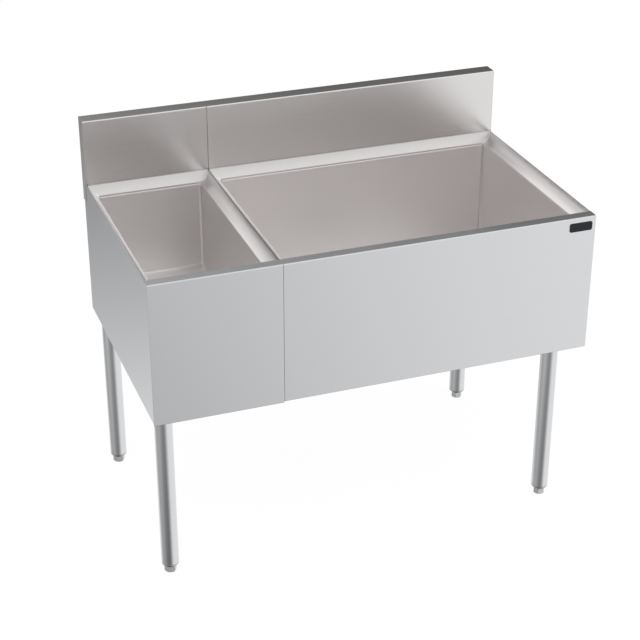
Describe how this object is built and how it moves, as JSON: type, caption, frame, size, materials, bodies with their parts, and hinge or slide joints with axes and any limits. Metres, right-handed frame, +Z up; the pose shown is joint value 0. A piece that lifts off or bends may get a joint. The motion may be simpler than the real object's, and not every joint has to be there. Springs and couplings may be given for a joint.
{
  "type": "underbar ice bin",
  "caption": "Underbar ice bin in satin stainless sheet: a narrow open well beside a wide insulated bin, a box backsplash behind, and tubular legs on screw-in hexagon feet.",
  "frame": {"origin": "middle of the underside of the overall box, at floor level under the unit", "axes": "+X to the right of someone facing the front, +Y to the back, +Z up"},
  "size_m": [1.0668, 0.6106, 0.9418],
  "materials": {
    "liner_steel": "satin stainless sheet of the tubs and their sloping rims",
    "apron_steel": "satin stainless sheet with the grain along the width",
    "panel_steel": "satin stainless sheet of the side walls and partitions",
    "back_steel": "plain mill-finish stainless sheet, back and underside",
    "splash_steel": "satin stainless sheet of the backsplash",
    "leg_steel": "satin stainless tube, polished round",
    "rail_steel": "plain stainless channel and sockets",
    "insert_alloy": "die-cast alloy plug, smooth",
    "foot_steel": "turned hexagon foot, plated",
    "drain_steel": "turned drain fitting, satin",
    "strainer_steel": "perforated plate, satin",
    "nut_brass": "plain machined brass",
    "gasket_rubber": "matte black rubber",
    "foam": "rigid foamed-in insulation, amber",
    "bolt_steel": "plain stainless fasteners",
    "plate_dark": "small dark plate, left blank"
  },
  "bodies": {
    "cabinet": {"well_liner": "liner_steel", "well_apron": "apron_steel", "well_side_panel": "panel_steel", "well_partition": "panel_steel", "well_back_panel": "back_steel", "well_bottom_pan": "back_steel", "well_backsplash": "splash_steel", "well_splash_cap_left": "splash_steel", "well_splash_cap_right": "splash_steel", "well_drain": "drain_steel", "well_drain_gasket": "gasket_rubber", "well_drain_nut": "nut_brass", "bin_liner": "liner_steel", "bin_insulation": "foam", "bin_apron": "apron_steel", "bin_side_panel": "panel_steel", "bin_partition": "panel_steel", "bin_back_panel": "back_steel", "bin_bottom_pan": "back_steel", "bin_backsplash": "splash_steel", "bin_splash_cap_left": "splash_steel", "bin_splash_cap_right": "splash_steel", "bin_drain": "drain_steel", "bin_drain_gasket": "gasket_rubber", "bin_drain_nut": "nut_brass", "front_plate": "plate_dark", "left_leg_rail": "rail_steel", "right_leg_rail": "rail_steel", "leg_socket_front_left": "rail_steel", "leg_socket_front_right": "rail_steel", "leg_socket_rear_left": "rail_steel", "leg_socket_rear_right": "rail_steel", "leg_tube_front_left": "leg_steel", "leg_tube_front_right": "leg_steel", "leg_tube_rear_left": "leg_steel", "leg_tube_rear_right": "leg_steel", "foot_insert_front_left": "insert_alloy", "foot_insert_front_right": "insert_alloy", "foot_insert_rear_left": "insert_alloy", "foot_insert_rear_right": "insert_alloy", "module_bolts": "bolt_steel", "module_nuts": "bolt_steel", "rail_bolts": "bolt_steel", "rail_nuts": "bolt_steel", "back_panel_screws": "bolt_steel", "socket_screws": "bolt_steel"},
    "foot_front_left": {"foot_front_left": "foot_steel"},
    "foot_front_right": {"foot_front_right": "foot_steel"},
    "foot_rear_left": {"foot_rear_left": "foot_steel"},
    "foot_rear_right": {"foot_rear_right": "foot_steel"},
    "well_strainer": {"well_strainer": "strainer_steel"},
    "bin_strainer": {"bin_strainer": "strainer_steel"}
  },
  "joints": [
    {"name": "level_front_left", "type": "slide", "parent": "cabinet", "child": "foot_front_left", "axis": [0, 0, -1], "range_m": [0, 0.0254]},
    {"name": "level_front_right", "type": "slide", "parent": "cabinet", "child": "foot_front_right", "axis": [0, 0, -1], "range_m": [0, 0.0254]},
    {"name": "level_rear_left", "type": "slide", "parent": "cabinet", "child": "foot_rear_left", "axis": [0, 0, -1], "range_m": [0, 0.0254]},
    {"name": "level_rear_right", "type": "slide", "parent": "cabinet", "child": "foot_rear_right", "axis": [0, 0, -1], "range_m": [0, 0.0254]},
    {"name": "lift_well_strainer", "type": "slide", "parent": "cabinet", "child": "well_strainer", "axis": [0, 0, 1], "range_m": [0, 0.1]},
    {"name": "lift_bin_strainer", "type": "slide", "parent": "cabinet", "child": "bin_strainer", "axis": [0, 0, 1], "range_m": [0, 0.1]}
  ]
}
